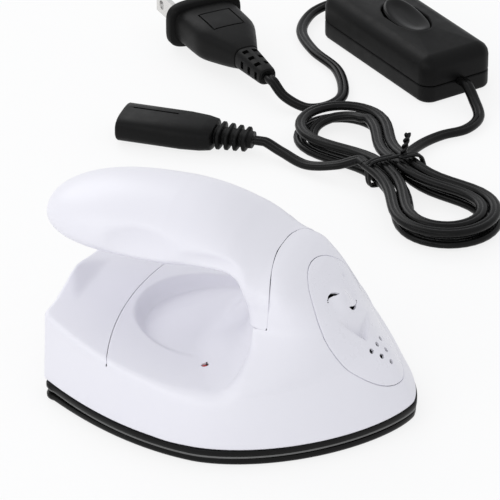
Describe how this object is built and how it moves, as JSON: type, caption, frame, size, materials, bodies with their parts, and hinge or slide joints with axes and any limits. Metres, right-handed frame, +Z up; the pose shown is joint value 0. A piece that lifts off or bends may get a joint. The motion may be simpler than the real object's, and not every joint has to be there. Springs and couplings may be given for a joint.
{
  "type": "mini craft iron",
  "caption": "White palm-size craft iron with a cantilevered handle, black soleplate and vented nose panel, beside its detachable black cord set with inline rocker switch.",
  "frame": {"origin": "centre of the iron's bounding box at the underside of the soleplate", "axes": "+X towards the nose, +Z up"},
  "size_m": [0.1507, 0.2636, 0.0577],
  "materials": {
    "white_shell": "satin",
    "panel_white": "satin",
    "sole_coat": "satin",
    "edge_steel": "polished",
    "skirt_black": "satin",
    "brass": "satin",
    "mica": "matte",
    "ceramic_white": "matte",
    "lamp_red": "gloss",
    "board_green": "satin",
    "wire_sleeve": "matte",
    "inner_steel": "satin",
    "fitting_black": "satin",
    "rocker_black": "satin",
    "blade_steel": "polished",
    "cord_black": "matte",
    "tie_black": "matte"
  },
  "bodies": {
    "iron": {"soleplate": "sole_coat", "edge_trim": "edge_steel", "insulating_skirt": "skirt_black", "front_panel": "panel_white", "inlet_socket": "skirt_black", "inlet_pin_1": "brass", "inlet_pin_2": "brass", "mica_sheet": "mica", "thermostat": "brass", "thermal_fuse": "ceramic_white", "led_lamp": "lamp_red", "led_board": "board_green", "live_wire": "wire_sleeve", "neutral_wire": "wire_sleeve", "main_shell": "white_shell", "heel_cover": "white_shell", "handle_top": "white_shell", "handle_underside": "white_shell", "heating_element": "inner_steel", "heater_clamp": "inner_steel", "clamp_screw_1": "inner_steel", "clamp_screw_2": "inner_steel", "sole_screw_1": "inner_steel", "sole_screw_2": "inner_steel", "sole_screw_3": "inner_steel", "sole_screw_4": "inner_steel", "handle_screw_1": "inner_steel", "handle_screw_2": "inner_steel"},
    "cord_set": {"connector": "fitting_black", "plug_body": "fitting_black", "switch_top": "fitting_black", "switch_bottom": "fitting_black", "plug_blade_1": "blade_steel", "plug_blade_2": "blade_steel", "rocker_pin": "inner_steel", "switch_screw_1": "inner_steel", "switch_screw_2": "inner_steel", "switch_contact_1": "brass", "switch_contact_2": "brass", "cord_plug_to_switch": "cord_black", "cord_switch_to_hank": "cord_black", "cord_hank": "cord_black", "cord_hank_to_connector": "cord_black", "cord_tie": "tie_black"},
    "rocker": {"switch_rocker": "rocker_black"}
  },
  "joints": [
    {"name": "cord_set_lift", "type": "slide", "parent": "iron", "child": "cord_set", "axis": [0, 0, 1], "range_m": [0, 0.12]},
    {"name": "switch_rock", "type": "hinge", "parent": "cord_set", "child": "rocker", "pos_m": [-0.01838, 0.19613, 0.0116], "axis": [0.5963, 0.8028, 0], "range_deg": [-18, 0]}
  ]
}
